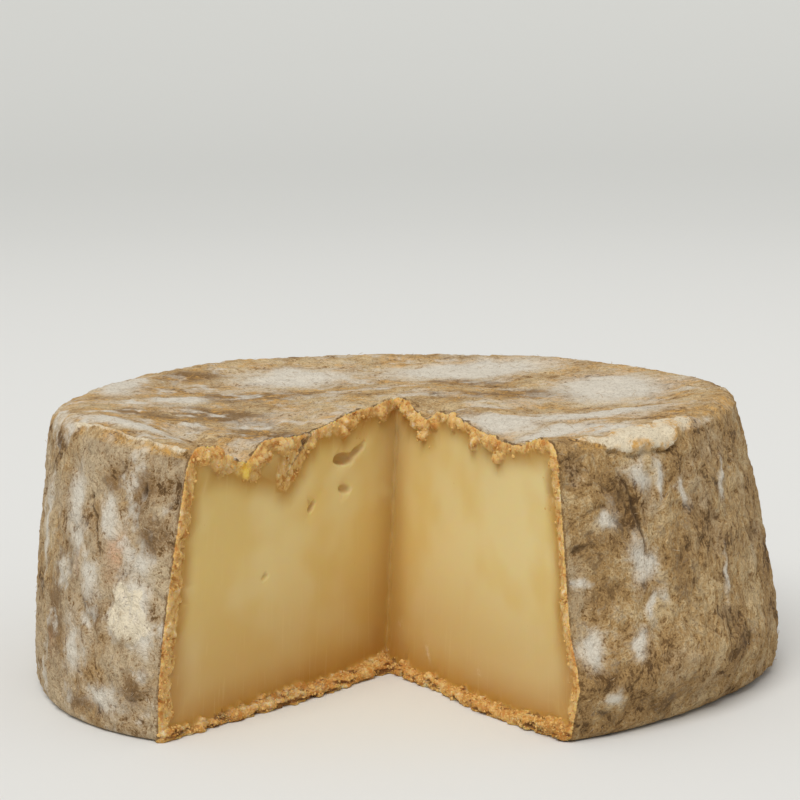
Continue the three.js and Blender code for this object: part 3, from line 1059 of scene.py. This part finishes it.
# The rind's torn brown edge along the cut; on the top a painted shadow line also darkens it where it meets
# the cut rind.
torn_edge_and_shadow = step(section_f + (speck - 0.5) * 2.0 + (patch - 0.5) * 1.6, -0.9, -0.2)
rind = blend(rind, BROWN, torn_edge_and_shadow * step(patch, 0.40, 0.54) * 0.85)
rind = blend(rind, DEEP, torn_edge_and_shadow * step(patch, 0.42, 0.58) * top_f * 0.5)

# %% Rind surface
fuzz = (streak - 0.5) * 0.7 + (speck - 0.5) * 0.8 + (fine - 0.5) * 0.6 + (strand - 0.86) * 0.4
rind_normal = paint.node("ShaderNodeBump", None, {"Strength": 1.0, "Distance": 0.7 * MM, "Height": fuzz})
rind_shader = paint.node(
    "ShaderNodeBsdfPrincipled",
    None,
    {
        "Base Color": rind,
        "Roughness": 0.9,
        "Specular IOR Level": 0.15,
        "Sheen Weight": 0.05,
        "Sheen Roughness": 0.5,
        "Sheen Tint": (1.0, 0.92, 0.80, 1.0),
        "Normal": rind_normal,
    },
)

# %% [markdown]
# The paste turns from pale ivory in the heart to amber near the rind, where it has dried and ripened; low
# down and in the notch's corner the amber is partly painted shade.
# The cut rind is cream and orange; painted shade darkens its pits and splits, and its raised crumbs
# are painted lighter. Light wanders a few millimetres in both, which subsurface scattering gives.

# %% Paste and cut rind
PASTE = (0.735, 0.550, 0.215)
PALE = (0.785, 0.640, 0.315)
AMBER = (0.460, 0.225, 0.035)
CRUMB = (0.700, 0.445, 0.155)
RUST = (0.520, 0.235, 0.050)
PIT_SHADE = (0.190, 0.080, 0.020)
YOLK = (0.850, 0.580, 0.060)

lip_f = mark("lip")
in_lip_f = mark("in_lip")
crest_f = mark("crest")
# Darker towards the foot: the amber band under the rind widens low down and the paste turns amber below 44
# mm, partly ripening and partly painted shade.
low_f = step(paint.part(spot, 2), 30, 2)
under = step(lip_f / (low_f * 8 + 7), -1, 0.1)
# Painted light: besides its pale clouds, the paste is made paler towards +X, on the right cut face that faces
# the sun.
pale_clouds_and_lit_side = noise(spot, 26, 2, 0.5) + step(paint.part(spot, 0), -20, 40) * 0.16
knife = noise(paint.stretch(spot, 1, 1, 40), 0.9, 2, 0.5)
paste = blend(PASTE, PALE, step(pale_clouds_and_lit_side, 0.42, 0.66))
paste = blend(paste, AMBER, step(paint.part(spot, 2), 44, 0) * 0.62)
paste = blend(paste, AMBER, under**1.5 * 0.9)
# Painted shade: the paste darkens into the notch's corner, partly amber, and in a narrow line along the apex.
paste = blend(paste, AMBER, step(mark("run"), 18, 0) ** 2 * 0.55)
paste = blend(paste, AMBER, step(mark("run"), 1.6, 0.4) * 0.55)
paste = blend(paste, PALE, step(knife, 0.58, 0.76) * 0.12)
mote = step(still((5, 5, 90), 1.6, 1, 0.5), 0.80, 0.86)
paste = blend(paste, RUST, mote * 0.6)
# Painted shade inside the eyes of the paste.
paste = blend(paste, RUST, mark("hollow") * 0.4)
paste = blend(paste, CREAM, mark("cream") * step(speck, 0.40, 0.60) * 0.7)
# Painted light and shade: the relief term lightens raised crumbs and darkens pits to a dark pit colour.
crumb_tone_and_shade = (speck - 0.5) * 0.9 + (patch - 0.5) * 1.2 + (tone - 0.5) * 0.6 + height_f * 0.25
cut_rind = blend(RUST, CRUMB, step(crumb_tone_and_shade, -0.18, 0.12))
cut_rind = blend(cut_rind, CREAM, step(crumb_tone_and_shade + (fine - 0.5) * 0.4, 0.12, 0.42) * 0.55)
cut_rind = blend(cut_rind, PIT_SHADE, step(crumb_tone_and_shade + (fine - 0.5) * 0.5, -0.22, -0.40) * 0.8)
cut_rind = blend(cut_rind, RUST, mark("lip_foot") * step(crumb_tone_and_shade, 0.30, -0.10) * 0.85)
cut_rind = blend(cut_rind, YOLK, mark("orange") * 0.8)
# Painted shade in the splits of the crust at the foot.
split_shade = step(noise(paint.stretch(spot, 5, 5, 1), 1.1, 2, 0.5), 0.47, 0.40) * mark("lip_foot")
cut_rind = blend(cut_rind, PIT_SHADE, split_shade * 0.8)
paste = blend(paste, cut_rind, in_lip_f)
paste = blend(paste, LIGHT, mark("tan") * step(patch, 0.42, 0.54) * 0.6)
paste_height = (knife - 0.5) * (1 - in_lip_f) * 0.04 + ((speck - 0.5) + (fine - 0.5) * 0.6) * in_lip_f
paste_normal = paint.node(
    "ShaderNodeBump", None, {"Strength": 0.9, "Distance": 0.5 * MM, "Height": paste_height}
)
paste_shader = paint.node(
    "ShaderNodeBsdfPrincipled",
    None,
    {
        "Base Color": paste,
        "Roughness": 0.40 + in_lip_f * 0.30,
        "Specular IOR Level": 0.35,
        "Subsurface Weight": 0.5,
        "Subsurface Radius": (1.0, 0.5, 0.15),
        "Subsurface Scale": 4 * MM,
        "Normal": paste_normal,
    },
)
cut_mask = step(section_f + (fine - 0.5) * 0.5 + (speck - 0.5) * 0.5, -0.12, 0.12)
cut_mask = cut_mask.most(step(crest_f, 0.2, 0.4))
cheese_shader = paint.node("ShaderNodeMixShader", None, (cut_mask, rind_shader, paste_shader))
surface = cheese.node_tree.nodes.new("ShaderNodeOutputMaterial")
cheese.node_tree.links.new(cheese_shader.socket, surface.inputs["Surface"])

# %% [markdown]
# ## Loose crumbs and mould threads
# Two things on real rind are too small and too many to shape by hand. Tiny crumbs cling to the broken
# edges, and the mould leaves short threads that soften every outline. Both are scattered over the
# finished skin by Geometry Nodes: the crumbs where the stored fields say the cut rind is, the threads
# on the skin in clumps, each one a bent line given a three-sided profile.

# %% A plain finish in two colours
def speckled(name, colours, size, limits, roughness, shine):
    """A rough material that drifts between two colours in blotches about size across."""
    made = bpy.data.materials.new(name)
    made.use_nodes = True
    graph = Graph(made.node_tree)
    place = graph.scaled(graph.node("ShaderNodeTexCoord", None, (), 3), 1 / MM)
    colour = graph.blend(*colours, graph.step(graph.noise(place, size, 3, 0.6), *limits))
    shader = made.node_tree.nodes["Principled BSDF"]
    made.node_tree.links.new(colour.socket, shader.inputs["Base Color"])
    shader.inputs["Roughness"].default_value = roughness
    shader.inputs["Specular IOR Level"].default_value = shine
    return made


# %% Loose crumbs
LOOSE = {"Density": 0.8, "Smallest": 0.14, "Largest": 0.5, "Seed": 7}
strew, given = new_tree("loose_crumbs", LOOSE)
broken = strew.stored("in_lip") * strew.step(strew.stored("section"), 0.3, 0.7)
broken = broken * (strew.stored("lip_foot") * 0.7 + 0.45)
broken = broken * strew.step(strew.part(strew.node("GeometryNodeInputPosition"), 2), 0.5 * MM, 0.9 * MM)
scatter = strew.scatter(given, broken)
ball = strew.node("GeometryNodeMeshIcoSphere", None, {"Radius": 1.0, "Subdivisions": 1})
across = strew.chance((0.5, 0.5, 0.5), (1.4, 1.4, 1.4), 31)
grown = strew.chance(0.0, 1.0, 32) ** 2 * (given["Largest"] - given["Smallest"]) + given["Smallest"]
inputs = {"Points": scatter, "Instance": ball, "Scale": strew.scaled(across, grown * MM)}
inputs["Rotation"] = strew.chance((0.0, 0.0, 0.0), (6.3, 6.3, 6.3), 33)
scattered = strew.node("GeometryNodeInstanceOnPoints", None, inputs)

crumb_paint = speckled("crumb", (RUST, CRUMB), 2.2, (0.34, 0.52), 0.85, 0.15)
finish_tree(strew, scattered, crumb_paint)
loose_crumbs = run_tree(wheel, strew.tree, LOOSE, "loose_crumbs")
print("loose crumb faces", len(loose_crumbs.data.polygons))

# %% Mould threads
THREADS = {"Density": 0.07, "Shortest": 0.6, "Longest": 1.9, "Thickness": 0.035, "Seed": 9}
grow, given = new_tree("mould_threads", THREADS)
place = grow.scaled(grow.node("GeometryNodeInputPosition"), 1 / MM)
bare = grow.step(grow.stored("section"), -0.4, -1.5) * grow.step(grow.part(place, 2), 2.0, 5.0)
clumps = grow.step(grow.noise(place, 7, 3, 0.5), 0.44, 0.62) * 0.9 + 0.1
scatter = grow.scatter(given, bare * clumps)
standing = Field(grow, scatter.socket.node.outputs["Rotation"])
bend = {"Resolution": 4, "Start": (0, 0, -0.02), "Middle": (0.4, 0, 0.24), "End": (1, 0.3, 0.26)}
bend = grow.node("GeometryNodeCurveQuadraticBezier", None, bend)
ring = {"Resolution": 3, "Radius": given["Thickness"]}
ring = grow.node("GeometryNodeCurvePrimitiveCircle", None, ring)
inputs = {"Curve": bend, "Profile Curve": ring, "Fill Caps": True}
thread = grow.node("GeometryNodeCurveToMesh", None, inputs)
length = grow.chance(0.0, 1.0, 42) ** 2 * (given["Longest"] - given["Shortest"]) + given["Shortest"]
inputs = {"Points": scatter, "Instance": thread, "Rotation": standing}
inputs["Scale"] = grow.scaled((1.0, 1.0, 1.0), length * MM)
threads = grow.node("GeometryNodeInstanceOnPoints", None, inputs)
inputs = {"Instances": threads, "Rotation": grow.chance((-0.3, -0.3, 0.0), (0.3, 0.3, 6.3), 43)}
threads = grow.node("GeometryNodeRotateInstances", None, inputs)

thread_paint = speckled("mould_thread", (TANNED, GREY), 5, (0.40, 0.60), 0.9, 0.5)
finish_tree(grow, threads, thread_paint)
mould_threads = run_tree(wheel, grow.tree, THREADS, "mould_threads")
print("thread faces", len(mould_threads.data.polygons))

# %% [markdown]
# ## Joining the frame
# The finished skin stands for the construction solid, which stays hidden for collision, and rides on
# the only body. Nothing may hang below the board that the wheel stands on, so lower points are raised to
# it first.

# %% Ride, replace and finish
def press_flat(piece):
    points = read(piece.data, "co")
    print(piece.name, "lowest point before pressing, mm:", round(points[:, 2].min() / MM, 2))
    points[:, 2] = np.maximum(points[:, 2], 0)
    piece.data.vertices.foreach_set("co", points.astype(np.float32).ravel())
    piece.data.update()


for piece, slot in ((wheel, "rind"), (loose_crumbs, "paste"), (mould_threads, "rind")):
    press_flat(piece)
    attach(piece, "root")
    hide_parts("cheese_wheel")
